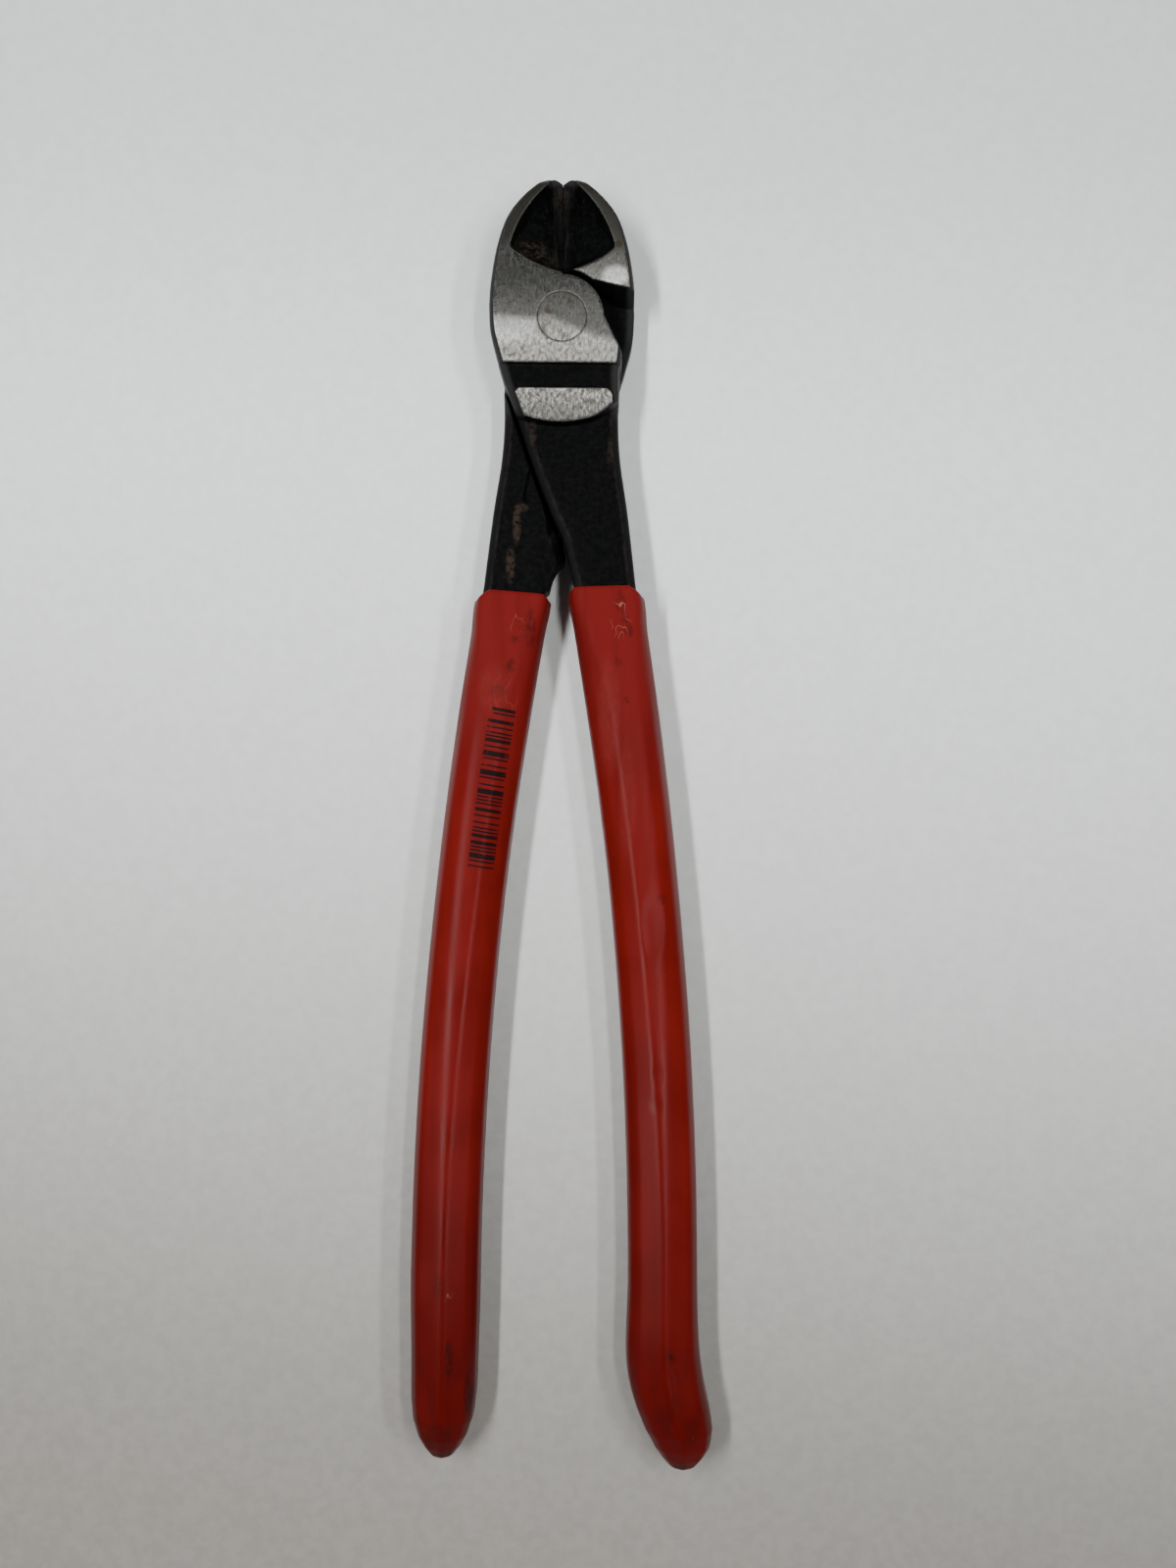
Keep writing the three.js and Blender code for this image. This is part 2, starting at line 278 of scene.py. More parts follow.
def forging_field(x, y, z):
    """One forging without its hollows: jaw on the left, handle on the right, 2D x and y, 1D z."""
    spread = lambda plane: plane[:, :, None]
    head_edge = outline_distance(head_outline(), x, y)
    tang_edge = outline_distance(tang_outline(), x, y)
    other_jaw = spread(outline_distance(other_jaw_outline(), x, y))
    under_head = outline_distance(under_head_outline(), x, y)
    under_tang = spread(outline_distance(under_tang_outline(), x, y))
    radius = np.hypot(x, y)

    rim = 1.0 + 1.3 * (1 - ramp(y, 6, 24))
    proud = 0.12 + 0.36 * (1 - ramp(y, 6, 24))
    flat = np.maximum(z - HEAD_THICK - spread(proud), -spread(proud) - z)
    head = rounded_slab(spread(head_edge), flat, spread(rim))
    dip = 1.15 * np.exp(-(x / 1.1) ** 2) + 0.015 * np.maximum(-x - 2, 0) ** 2
    tip = ((spread(y + dip) - 25.4) * 2.0 + (np.abs(z - LAP_Z) - LAP_Z) * 1.5) / math.hypot(2.0, 1.5)
    head = meet(head, tip, 0.4)
    wall = spread(crescent_distance(x, y)) + (z - HEAD_THICK) * 0.16
    head = meet(head, wall, 0.12)
    ground = np.maximum(z - HEAD_THICK, -z)
    head = meet(head, ground, 0.06)
    draft = 0.27 * np.clip((radius - SHOULDER_RADIUS) / 2.5, 0, 1)
    under = np.maximum(spread(under_head) + spread(draft) * z, z - LAP_Z - LAP_GAP)
    head = meet(head, -under, 0.25)

    half = TANG_HALF_THICK + 0.5 * ramp(-spread(y), 34, 56)
    level = np.abs(z - LAP_Z) - half
    bevel_wide = 1.35 + 0.5 * ramp(-spread(y), 30, 50)
    bevel_deep = 0.85
    slope = (spread(tang_edge) * bevel_deep + level * bevel_wide + bevel_wide * bevel_deep) / np.hypot(
        bevel_wide, bevel_deep)
    tang = meet(meet(spread(tang_edge), level, 0.8), slope, 0.9)
    tang = meet(tang, -(spread(y) + 56.5), 0.2)
    swing = spread(radius) - SWING_RADIUS
    mate = np.maximum(join(swing, under_tang, 0.8), z - LAP_Z - LAP_GAP)
    tang = meet(tang, -mate, 0.25)

    whole = join(head, tang, 0.35)
    whole = meet(whole, -spread(notch_distance(x, y)), 0.3)
    whole = meet(whole, -other_jaw, 0.12)
    low_land = spread(meet(y - BAND_BOTTOM_Y, head_edge + LOW_LAND_INSET, 1.8))
    band = np.maximum(np.maximum(spread(y) - BAND_TOP_Y, -low_land), HEAD_THICK - BAND_DEPTH - z)
    whole = meet(whole, -band, 0.12)
    hole = spread(radius) - RIVET_RADIUS - 0.04
    whole = meet(whole, -hole, 0.06)
    return whole, head_edge, tang_edge


def front_hollow_field(x, y, z):
    """The hollow on the top face, as the space above its floor."""
    side = np.abs(x)
    reach = np.maximum(np.sqrt(np.maximum(22.8 ** 2 - (y - 7.7) ** 2, 0)) - 12.1, 0.25)
    tipward = ramp(y, 18, 25)
    facet_low = 7.0 + 1.0 * tipward
    facet = HEAD_THICK - (HEAD_THICK - facet_low) * (reach - side) / np.maximum(reach - 2.2, 1.3)
    facet = np.minimum(facet, HEAD_THICK + (side - reach) * 2.5)
    cutting = 4.6 + side * (0.68 + 0.9 * tipward)
    step = 5.9 + 1.7 * tipward + (side - 1.9) * 4.0
    floor = np.maximum(np.minimum(facet, np.maximum(step, cutting)), cutting)
    border = 8.45 + 0.2 * side + 0.026 * side ** 2
    end_wall = HEAD_THICK - (y - border) * 2.3
    floor = meet(floor, end_wall, 2.4)
    floor = meet(floor, 4.4 + 5.0 * ramp(y, 20.0, 25.8), 0.8)
    gx, gy = np.gradient(floor, CELL)
    slope = np.sqrt(1 + np.minimum(gx ** 2 + gy ** 2, 12))
    return (floor[:, :, None] - z) / slope[:, :, None]


def back_hollow_field(x, y, z):
    """The narrower groove on the underside, as the space below its roof."""
    side = np.abs(x)
    roof = 3.8 - side * 1.0
    roof = -meet(-roof, -(y - 10.6) * 1.6, 0.8)
    slope = math.sqrt(2)
    return (z - roof[:, :, None]) / slope


def read_between(plane, places):
    """Values of a plane's grid at places between its points."""
    corner = np.clip(np.floor(places).astype(int), 0, np.array(plane.shape) - 2)
    (i, j), (u, v) = corner.T, np.clip(places - corner, 0, 1).T
    near_side = plane[i, j] * (1 - u) + plane[i + 1, j] * u
    far_side = plane[i, j + 1] * (1 - u) + plane[i + 1, j + 1] * u
    return near_side * (1 - v) + far_side * v


def make_half(name, mirrored, material):
    """A forged half as one fine mesh, with how near each point is to the outer edge."""
    xs = np.arange(-GRID_X, GRID_X, CELL)
    ys = np.arange(GRID_LOW_Y, GRID_HIGH_Y, CELL)
    zs = np.arange(-0.63, HEAD_THICK + 0.7, CELL)
    x, y = np.meshgrid(xs, ys, indexing="ij")
    own_x = -x if mirrored else x
    own_z = HEAD_THICK - zs if mirrored else zs
    field, head_edge, tang_edge = forging_field(own_x, y, own_z[None, None, :])
    if mirrored:
        brink = np.interp(y, [-49.4, -42, -36.7, -27], [2.4, 0.5, -1.9, -5.7])[:, :, None] - 0.3
        fall = (zs - LAP_Z - 1.9 * (brink - x[:, :, None])) / math.hypot(1, 1.9)
        web = np.maximum(outline_distance(CROTCH_OUTLINE, x, y)[:, :, None], np.maximum(fall, zs - 9.7))
        web = meet(web, LAP_Z - TANG_HALF_THICK + 1.0 - zs, 0.3)
        field = join(field, web, 0.5)
        pocket = np.maximum(
            outline_distance(POCKET_OUTLINE, x, y)[:, :, None], LAP_Z + TANG_HALF_THICK - 1.1 - zs)
        field = meet(field, -pocket, 0.3)
    field = meet(field, -front_hollow_field(x, y, zs[None, None, :]), 0.12)
    field = meet(field, -back_hollow_field(x, y, zs[None, None, :]), 0.12)
    field = np.pad(field, 1, constant_values=5.0)
    origin = (xs[0] - CELL, ys[0] - CELL, zs[0] - CELL)
    vertices, quads = surface_net(field, origin, CELL)
    piece = make_mesh(name, vertices, quads, material)
    places = (vertices[:, :2] - (xs[0], ys[0])) / CELL
    add_attribute(piece, "head_edge", -read_between(head_edge, places))
    add_attribute(piece, "tang_edge", -read_between(tang_edge, places))
    return piece


# ---- the dipped sleeves --------------------------------------------------------------------

RING = 144
SLEEVE_TOP_HALF = 7.15
SLEEVE_HALF = 6.75
DOME_LENGTH = 18
DOME_RISE = [0, 0.25, 0.7, 2.5, 4.6, 8, 12, 15, DOME_LENGTH]
DOME_SHARE = [0.22, 0.29, 0.37, 0.57, 0.75, 0.91, 0.978, 0.995, 1]


def spine_x(y, flare):
    """Centre line of a handle, stepping outward at its end."""
    bend = flare * ramp(-y, -SPINE_Y, -BEND_LOW_Y) ** BEND_SHARPNESS
    return SPINE_X - np.maximum(y - SPINE_Y, 0) ** 2 / (2 * SPINE_RADIUS) + bend


def sleeve_section(flat, inner):
    """A unit section, outward to +x: a flat top, a crisp ridge on the inner side, a softer outer side."""
    outer = [
        (1.0, 0.15), (0.965, 0.44), (0.78 + 0.10 * inner, 0.78 + 0.02 * inner), (flat + 0.14, 0.965), (flat * 0.8, 1.0),
    ]
    top = outer + [(-flat, 1.0), (-0.72 - 0.2 * inner, 0.74 + 0.06 * inner), (-0.965, 0.44), (-1.0, 0.15)]
    corners = np.array(top + [(x, -z) for x, z in reversed(top)])
    corners = np.vstack([[(1.0, 0.0)], corners, [(1.0, 0.0)]]) * (6.8, 6.0)
    lengths = np.concatenate([[0], np.cumsum(np.hypot(*np.diff(corners, axis=0).T))])
    at = np.linspace(0, lengths[-1], RING, endpoint=False)
    ring = np.stack([np.interp(at, lengths, corners[:, k]) for k in (0, 1)], axis=1)
    weights = np.exp(-0.5 * (np.arange(-9, 10) / (1.8 + 1.4 * inner)) ** 2)
    ring = sum(w * np.roll(ring, k, axis=0) for k, w in zip(range(-9, 10), weights / weights.sum()))
    return ring / np.abs(ring).max(axis=0)


def mouth_drop(x):
    """How far the mouth's corners stand back: a long cut on the outer side, a short one on the inner."""
    outer = 1.9 * np.clip((x - 4.4) / 2.5, 0, 1) ** 1.25
    inner = 0.9 * np.clip((-x - 6.1) / 0.9, 0, 1)
    return outer + inner


def make_sleeve(name, handle, mouth_y, mouth_slope, dents, material):
    """A dipped sleeve as rings across the handle, from inside the lip down to the blunt end."""
    end_y = handle["end_y"]
    lip = [(2.2, 1.2), (1.45, 0.3), (1.1, 0.03), (0.8, 0.0), (0.45, 0.0), (0.22, 0.05), (0.07, 0.2), (0.0, 0.45), (0.0, 1.0)]
    body = np.arange(2.0, mouth_y - end_y - DOME_LENGTH, 1.0)
    dome = mouth_y - end_y - DOME_LENGTH * np.linspace(1, 0, 46) ** 1.5
    stations = lip + [(0.0, down) for down in list(body) + list(dome)]
    rings, arcs = [], []
    for inset, down in stations:
        y = mouth_y - down
        open_top = 1 - ramp(down, 0, 24)
        flat = 0.30 + 0.42 * open_top - 0.30 * ramp(-y, 80, 200)
        section = sleeve_section(max(flat, 0.02), open_top)
        share = np.interp(y - end_y, DOME_RISE, DOME_SHARE)
        swell = 0.3 * math.exp(-((down - 1.5) / 4.0) ** 2)
        body_half = SLEEVE_TOP_HALF - (SLEEVE_TOP_HALF - SLEEVE_HALF) * ramp(-y, 52, 120) + swell
        end_swell = ramp(-y, 185, 204)
        wide = (body_half + (handle["end_half"] - body_half) * end_swell) * share
        tall = (LAP_Z - 0.75 * (1 - ramp(down, -2, 28))) * share ** 0.8
        x = section[:, 0] * max(wide - inset, 0.4)
        z = section[:, 1] * max(tall - inset, 0.4)
        ring_y = np.full(RING, y)
        fade = 1 - ramp(down, 2, 9)
        ring_y += fade * (mouth_slope * x - mouth_drop(x))
        across = spine_x(ring_y, handle["flare"]) + 0.3 * math.exp(-down / 8)
        rings.append(np.stack([across + x, ring_y, LAP_Z + z], axis=1))
        arcs.append(x)
    points = np.concatenate(rings)
    for cx, cy, rx, ry, depth in dents:
        off = ((points[:, 0] - cx) / rx) ** 2 + ((points[:, 1] - cy) / ry) ** 2
        top = points[:, 2] > LAP_Z
        points[:, 2] -= np.where(top, depth * np.exp(-off ** 3), 0)
    count = len(stations)
    first = np.arange(count - 1)[:, None] * RING
    column = np.arange(RING)[None, :]
    after = (column + 1) % RING
    faces = np.stack([first + column, first + RING + column, first + RING + after, first + after], axis=-1)
    faces = faces.reshape(-1, 4)
    caps = []
    for ring_start, flip in ((0, False), ((count - 1) * RING, True)):
        for k in range(RING // 2 - 1):
            cap = [ring_start + k, ring_start + k + 1, ring_start + RING - 2 - k, ring_start + RING - 1 - k]
            caps.append(cap[::-1] if flip else cap)
    faces = np.vstack([faces, caps])
    if handle["side"] < 0:
        points = points * (-1, 1, 1)
        faces = faces[:, ::-1]
    sleeve = make_mesh(name, points, faces, material)
    add_attribute(sleeve, "across", np.concatenate(arcs))
    return sleeve


# ---- the rivet -----------------------------------------------------------------------------

def make_rivet(material):
    """The axle, ground flush at both ends, with a faint burr that covers the fit."""
    profile = [(0.02, 0), (2.3, 0), (RIVET_RADIUS, 0), (RIVET_RADIUS, HEAD_THICK - 0.03)]
    profile += [(RIVET_RADIUS + 0.07, HEAD_THICK + 0.012), (2.3, HEAD_THICK + 0.012), (0.02, HEAD_THICK + 0.012)]
    turns = 96
    angles = np.arange(turns) * 2 * math.pi / turns
    points = [(r * math.cos(a), r * math.sin(a), z) for r, z in profile for a in angles]
    faces = []
    for k in range(len(profile) - 1):
        for i in range(turns):
            j = (i + 1) % turns
            faces.append((k * turns + i, k * turns + j, (k + 1) * turns + j, (k + 1) * turns + i))
    return make_mesh("ground_rivet", points, faces, material, smooth=False)


# ---- materials -----------------------------------------------------------------------------

BARS_TOP = 74.3
BARS_SLOPE = 0.167
BAR_MODULE = 0.33

# Rust-brown rubs on the tangs: x, y, reach across, reach along, strength
STEEL_RUBS = [
    (-8.3, -39.2, 1.0, 4.6, 0.85), (-9.5, -47.0, 1.1, 4.2, 0.85), (-7.4, -36.0, 1.6, 1.0, 0.7),
    (9.4, -25.5, 0.7, 4.0, 0.4), (-5.4, -21.5, 0.9, 3.0, 0.5),
]

# Smears and scratches on the sleeves, and patches of painted sheen: x, y, reach across, reach along, strength
RIGHT_DARK = [
    (12.9, -72.8, 0.6, 0.8, 1.0), (11.6, -53.8, 1.2, 2.6, 0.55), (12.4, -58.0, 1.0, 3.0, 0.5),
    (13.6, -59.5, 0.8, 1.6, 0.5), (19.9, -110.6, 1.2, 1.4, 0.4), (22.5, -197.5, 1.2, 1.4, 0.8),
    (24.9, -220.6, 2.8, 2.2, 0.85), (11.3, -65.5, 0.9, 1.2, 0.5),
]
RIGHT_PALE = [(11.8, -57.0, 2.4, 5.0, 0.6), (23.4, -202.0, 1.6, 3.0, 0.3), (27.4, -213.2, 0.8, 0.8, 0.9)]
# Patches of painted sheen: pale tints that stand for a broad highlight near the mouth.
RIGHT_PAINTED_SHEEN = [(9.6, -76.0, 2.6, 14.0, 0.20), (13.2, -92.0, 2.0, 14.0, 0.15)]
LEFT_DARK = [
    (-5.5, -59.3, 1.4, 5.0, 0.55), (-9.1, -66.8, 1.2, 2.4, 0.6), (-11.5, -71.2, 2.4, 1.6, 0.5),
    (-8.4, -61.5, 0.9, 1.2, 0.6), (-19.8, -198.5, 1.1, 4.6, 0.75), (-16.0, -206.0, 1.2, 6.5, 0.8),
    (-21.4, -213.5, 3.4, 3.4, 0.5), (-22.0, -184.6, 1.6, 3.2, 0.35), (-20.9, -218.8, 3.0, 2.2, 0.85),
]
# Patch of painted sheen: a pale tint that stands for a broad highlight near the mouth.
LEFT_PAINTED_SHEEN = [(-12.6, -71.0, 3.4, 5.5, 0.16)]
LEFT_PALE = [(-8.2, -58.5, 1.8, 2.4, 0.4), (-20.0, -186.0, 1.1, 2.4, 0.5), (-10.0, -72.0, 3.0, 5.0, 0.4)]


class Shader:
    """A few shorthands for building one material's nodes. All lengths are millimetres."""

    def __init__(self, name):
        self.material = bpy.data.materials.new(name)
        self.material.use_nodes = True
        self.tree = self.material.node_tree
        self.surface = self.tree.nodes["Principled BSDF"]
        place = self.tree.nodes.new("ShaderNodeTexCoord").outputs["Object"]
        self.place = self.vector("SCALE", place, scale=1 / MM)
        self.x, self.y, self.z = self.split(self.place)

    def feed(self, socket, value):
        if isinstance(value, bpy.types.NodeSocket):
            self.tree.links.new(value, socket)
        elif value is not None:
            socket.default_value = value

    def vector(self, operation, a, b=None, scale=None):
        node = self.tree.nodes.new("ShaderNodeVectorMath")
        node.operation = operation
        self.feed(node.inputs[0], a)
        if b is not None:
            self.feed(node.inputs[1], b)
        if scale is not None:
            self.feed(node.inputs["Scale"], scale)
        return node.outputs["Vector"]

    def split(self, value):
        node = self.tree.nodes.new("ShaderNodeSeparateXYZ")
        self.feed(node.inputs[0], value)
        return node.outputs[0], node.outputs[1], node.outputs[2]

    def math(self, operation, a, b=None, c=None, clamp=False):
        node = self.tree.nodes.new("ShaderNodeMath")
        node.operation = operation
        node.use_clamp = clamp
        for socket, value in zip(node.inputs, (a, b, c)):
            self.feed(socket, value)
        return node.outputs[0]

    def add(self, a, b):
        return self.math("ADD", a, b)

    def times(self, *values):
        result = values[0]
        for value in values[1:]:
            result = self.math("MULTIPLY", result, value)
        return result

    def step(self, value, low, high, start=0.0, end=1.0):
        """A smooth change from start to end as the value goes from low to high."""
        node = self.tree.nodes.new("ShaderNodeMapRange")
        node.interpolation_type = "SMOOTHSTEP"
        for name, item in (("Value", value), ("From Min", low), ("From Max", high),
                           ("To Min", start), ("To Max", end)):
            self.feed(node.inputs[name], item)
        return node.outputs["Result"]

    def noise(self, scale, detail=3.0, stretch=(1, 1, 1), offset=0.0, rough=0.5):
        node = self.tree.nodes.new("ShaderNodeTexNoise")
        stretched = self.vector("MULTIPLY", self.place, stretch)
        self.feed(node.inputs["Vector"], self.vector("ADD", stretched, (offset, offset, offset)))
        self.feed(node.inputs["Scale"], scale)
        self.feed(node.inputs["Detail"], detail)
        self.feed(node.inputs["Roughness"], rough)
        return node.outputs[0]

    def attribute(self, name):
        node = self.tree.nodes.new("ShaderNodeAttribute")
        node.attribute_name = name
        return node.outputs["Fac"]

    def mix(self, factor, a, b):
        node = self.tree.nodes.new("ShaderNodeMix")
        node.data_type = "RGBA"
        self.feed(node.inputs[0], factor)
        for socket, value in ((node.inputs[6], a), (node.inputs[7], b)):
            self.feed(socket, (*value, 1) if isinstance(value, tuple) else value)
        return node.outputs[2]

    def blend(self, factor, a, b):
        """A number that goes from a to b."""
        return self.step(factor, 0.0, 1.0, a, b)

    def near(self, x, y, reach_x, reach_y):
        """One at a spot and zero outside an ellipse round it."""
        dx = self.math("DIVIDE", self.math("SUBTRACT", self.x, x), reach_x)
        dy = self.math("DIVIDE", self.math("SUBTRACT", self.y, y), reach_y)
        return self.step(self.add(self.times(dx, dx), self.times(dy, dy)), 1.0, 0.15)

    def bump(self, height, distance, strength=1.0):
        node = self.tree.nodes.new("ShaderNodeBump")
        self.feed(node.inputs["Height"], height)
        self.feed(node.inputs["Distance"], distance * MM)
        self.feed(node.inputs["Strength"], strength)
        return node.outputs[0]

    def finish(self, **sockets):
        for name, value in sockets.items():
            value = (*value, 1) if isinstance(value, tuple) and len(value) == 3 else value
            self.feed(self.surface.inputs[name.replace("_", " ")], value)
        return self.material


def steel_material(name, forged):
    """Black forged steel, with bright ground faces where the surface reaches the head's top or underside, their colour
    carrying painted highlights and painted shade.
    """
    s = Shader(name)
    ragged = s.noise(1.7, 2.0, offset=5.0)
    depth = s.math("SUBTRACT", LAP_Z, s.math("ABSOLUTE", s.math("SUBTRACT", s.z, LAP_Z)))
    edge = s.step(ragged, 0.3, 0.7, 0.02, 0.08)
    upright = s.split(s.tree.nodes.new("ShaderNodeNewGeometry").outputs["Normal"])[2]
    flat = s.step(s.math("ABSOLUTE", upright), 0.93, 0.985)
    ground = s.times(s.step(depth, edge, s.add(edge, -0.02)), flat)
    radius = s.math("SQRT", s.add(s.times(s.x, s.x), s.times(s.y, s.y)))
    right_land = s.times(s.step(s.x, 0.1, 0.2), s.step(radius, 8.3, 8.8), s.step(s.y, 4.0, 5.0))

    grain = s.noise(1.0, 3.0, (3.4, 0.55, 1.0), rough=0.6)
    hair = s.noise(1.0, 2.0, (9.0, 0.9, 1.0), offset=17.0)
    mottle = s.noise(1.0, 4.0, (1.6, 0.9, 1.0), offset=11.0, rough=0.65)
    cloud = s.noise(0.16, 3.0, offset=3.0)
    slow = s.noise(0.3, 2.0, offset=13.0)
    # Painted shade on the ground lands: above a wavy line near Y = 0, and again on the head's upper part, the land is
    # painted in a darker scratched tone where it reflects little light.
    boundary = s.add(s.add(s.y, s.times(s.math("MAXIMUM", s.add(s.x, 3.0), 0.0), 0.38)), s.times(slow, 2.2))
    shade = s.times(s.step(boundary, 0.1, 2.1), s.math("SUBTRACT", 1.0, right_land))
    shade = s.times(shade, s.step(s.y, 8.0, 12.0, 1.0, 0.62))
    shade = s.math("MAXIMUM", shade, s.times(s.step(s.y, 13.0, 18.0), 0.88))
    # Painted highlight: a bright band low on the left of the main land, standing for a lamp's reflection.
    painted_hot_band = s.times(s.near(-11.0, -2.4, 9.0, 3.6), 0.9)
    low_land = s.step(s.y, -12.0, -14.0)
    scratch = s.noise(1.0, 2.0, (15.0, 0.6, 1.0), offset=27.0)
    pits = s.times(s.step(mottle, 0.50, 0.72), s.step(boundary, 3.0, -6.0, 0.12, 1.0))
    rim = s.step(s.math("ABSOLUTE", s.math("SUBTRACT", radius, RIVET_RADIUS + 0.05)), 0.30, 0.05)
    ring = s.times(rim, s.step(s.noise(0.22, 2.0, offset=8.0), 0.40, 0.58))
    smudge = s.times(s.step(radius, 6.5, 3.5), s.step(s.noise(0.45, 3.0, offset=9.0), 0.54, 0.68))
    stain = s.math("MAXIMUM", s.math("MAXIMUM", ring, smudge), s.times(s.step(cloud, 0.6, 0.74), 0.5))
    stain = s.math("MAXIMUM", stain, s.times(s.near(10.7, 13.8, 0.8, 0.9), s.step(mottle, 0.3, 0.45), 1.3))
    bright = s.mix(s.step(grain, 0.34, 0.66), (0.42, 0.408, 0.375), (0.86, 0.845, 0.79))
    bright = s.mix(s.times(low_land, s.step(mottle, 0.35, 0.6, 0.2, 0.85)), bright, (0.24, 0.235, 0.205))
    # Painted highlight on the right land (the glare spot) and painted shade over the rest of that land.
    glare = s.times(s.near(10.2, 7.9, 3.4, 2.4), right_land)
    bright = s.mix(s.math("MAXIMUM", painted_hot_band, glare), bright, (1.0, 0.99, 0.96))
    right_land_painted_shade = s.times(right_land, s.math("SUBTRACT", 1.0, glare), s.step(grain, 0.3, 0.7, 0.65, 0.95))
    bright = s.mix(right_land_painted_shade, bright, (0.22, 0.215, 0.195))
    scratched = s.add(s.times(hair, 0.5), s.times(scratch, 0.5))
    # The darker scratched colour that the painted shade on the lands uses.
    land_painted_shade = s.mix(scratched, (0.125, 0.125, 0.117), (0.315, 0.312, 0.296))
    # Painted shade: the main land's band between Y of about -4 and -9.5 is painted darker.
    foot = s.times(s.step(s.y, -3.2, -7.5), s.step(s.y, -10.0, -9.0), s.step(grain, 0.3, 0.7, 0.35, 0.8))
    bright = s.mix(foot, bright, (0.30, 0.293, 0.265))
    bright = s.mix(s.times(shade, s.step(s.y, 2.5, -2.0, 0.75, 0.92)), bright, land_painted_shade)
    bright = s.mix(s.times(pits, 0.62), bright, (0.15, 0.145, 0.125))
    rims = s.step(s.add(s.y, s.times(slow, 3.0)), 12.5, 17.5)
    bright = s.mix(s.times(rims, 0.85), bright, s.mix(hair, (0.130, 0.122, 0.100), (0.225, 0.217, 0.192)))
    bright = s.mix(s.times(stain, 0.6), bright, (0.15, 0.105, 0.06))
    bright_rough = s.add(s.step(mottle, 0.3, 0.75, 0.20, 0.36), s.times(s.math("MAXIMUM", stain, rims), 0.15))

    peel = s.noise(1.1, 3.0, offset=21.0)
    fine = s.noise(3.2, 2.0, offset=31.0)
    black = s.mix(s.step(peel, 0.35, 0.7), (0.0010, 0.0012, 0.0013), (0.0030, 0.0030, 0.0030))
    black = s.mix(s.times(s.step(fine, 0.66, 0.74), 0.5), black, (0.014, 0.014, 0.014))
    if forged:
        black = forged_marks(s, black, depth, peel, fine)
    black_rough = s.step(fine, 0.25, 0.75, 0.36, 0.6)

    tilted = s.times(right_land, s.y, 0.035)
    land_height = s.add(s.times(s.add(grain, s.times(hair, 0.7)), 0.013), s.times(pits, -0.006))
    skin_height = s.times(s.add(peel, s.times(fine, 0.3)), 0.06)
    matt = s.math("SUBTRACT", 1.0, ground)
    height = s.add(s.times(s.add(land_height, tilted), ground), s.times(skin_height, matt))
    return s.finish(
        Base_Color=s.mix(ground, black, bright),
        Metallic=ground,
        Specular_IOR_Level=0.09,
        Roughness=s.add(s.times(ground, bright_rough), s.times(matt, black_rough)),
        Anisotropic=s.times(ground, 0.85),
        Tangent=s.vector("ADD", (1.0, 0.0, 0.0), (0.0, 0.0, 0.0)),
        Normal=s.bump(height, 1.0),
    )


def forged_marks(s, black, depth, peel, fine):
    """Wear and painted light on the forged skin: rubbed edges with a painted sheen, a painted highlight line along the
    tang's bevel, painted shade in the crotch, rust-brown rubs and the jaws' scraped hollow.
    """
    # Mask for the crotch between the tangs, where painted shade keeps the skin black.
    crotch_painted_shade = s.times(s.step(s.y, -42.0, -43.5), s.step(s.x, 0.2, 0.0), s.step(s.x, -5.0, -4.6))
    inside = s.attribute("tang_edge")
    # The bevel strip along the tang's edge is painted lighter: partly rubbed wear, partly painted sheen where the bevel
    # catches light.
    strip = s.times(s.step(inside, 1.7, 1.2), s.step(inside, -0.1, 0.2), s.step(depth, 0.5, 1.2))
    # Painted highlight: a thin lighter line along the ridge inside the bevel.
    ridge = s.times(s.step(s.math("ABSOLUTE", s.math("SUBTRACT", inside, 1.45)), 0.42, 0.1),
                    s.step(depth, 0.8, 1.6), s.step(s.noise(0.7, 3.0, offset=51.0), 0.35, 0.65))
    edges = s.mix(s.times(strip, 0.30), black, (0.0125, 0.0120, 0.0115))
    edges = s.mix(s.times(ridge, 0.28), edges, (0.024, 0.020, 0.017))
    # Painted shade: in the crotch the lighter strip and line are left out, so it stays black.
    black = s.mix(crotch_painted_shade, edges, black)
    from_rim = s.attribute("head_edge")
    # A lighter band along the head's side bevel: partly rubbed, partly painted sheen where the bevel catches light.
    side = s.times(s.step(from_rim, 1.9, 0.8), s.step(from_rim, -0.6, 0.0), s.step(s.y, -20.0, -16.0))
    black = s.mix(s.times(side, 0.4), black, (0.030, 0.030, 0.029))

    hollow = s.times(s.step(s.y, 8.0, 9.5), s.step(s.math("ABSOLUTE", s.math("SUBTRACT", s.z, 8.3)), 4.0, 3.5))
    lines = s.noise(1.0, 3.0, (6.0, 0.25, 0.5), offset=71.0)
    middle = s.times(s.step(s.x, -2.1, -1.7), s.step(s.x, 1.4, 1.1), hollow)
    black = s.mix(s.times(middle, s.step(lines, 0.45, 0.70), 0.55), black, (0.016, 0.0145, 0.0125))
    scraped = s.noise(0.9, 4.0, (0.9, 1.4, 0.7), offset=81.0, rough=0.7)
    rub = s.times(s.near(-5.2, 12.6, 5.0, 4.2), s.step(scraped, 0.42, 0.66), hollow)
    black = s.mix(s.times(rub, 0.75), black, (0.026, 0.020, 0.014))
    specks = s.times(s.step(s.noise(1.3, 3.0, (1.0, 1.6, 1.0), offset=91.0, rough=0.7), 0.66, 0.74), hollow)
    black = s.mix(s.times(specks, 0.5), black, (0.045, 0.045, 0.042))
    tip = s.times(s.near(-0.2, 24.0, 2.2, 2.0), s.step(scraped, 0.40, 0.62))
    black = s.mix(s.times(tip, 0.4), black, (0.020, 0.018, 0.015))

    worn = s.add(s.times(peel, 0.6), s.times(fine, 0.4))
    for x, y, reach_x, reach_y, strength in STEEL_RUBS:
        rub = s.times(s.near(x, y, reach_x, reach_y), s.step(worn, 0.36, 0.56), strength)
        black = s.mix(rub, black, (0.024, 0.0165, 0.012))
    return black


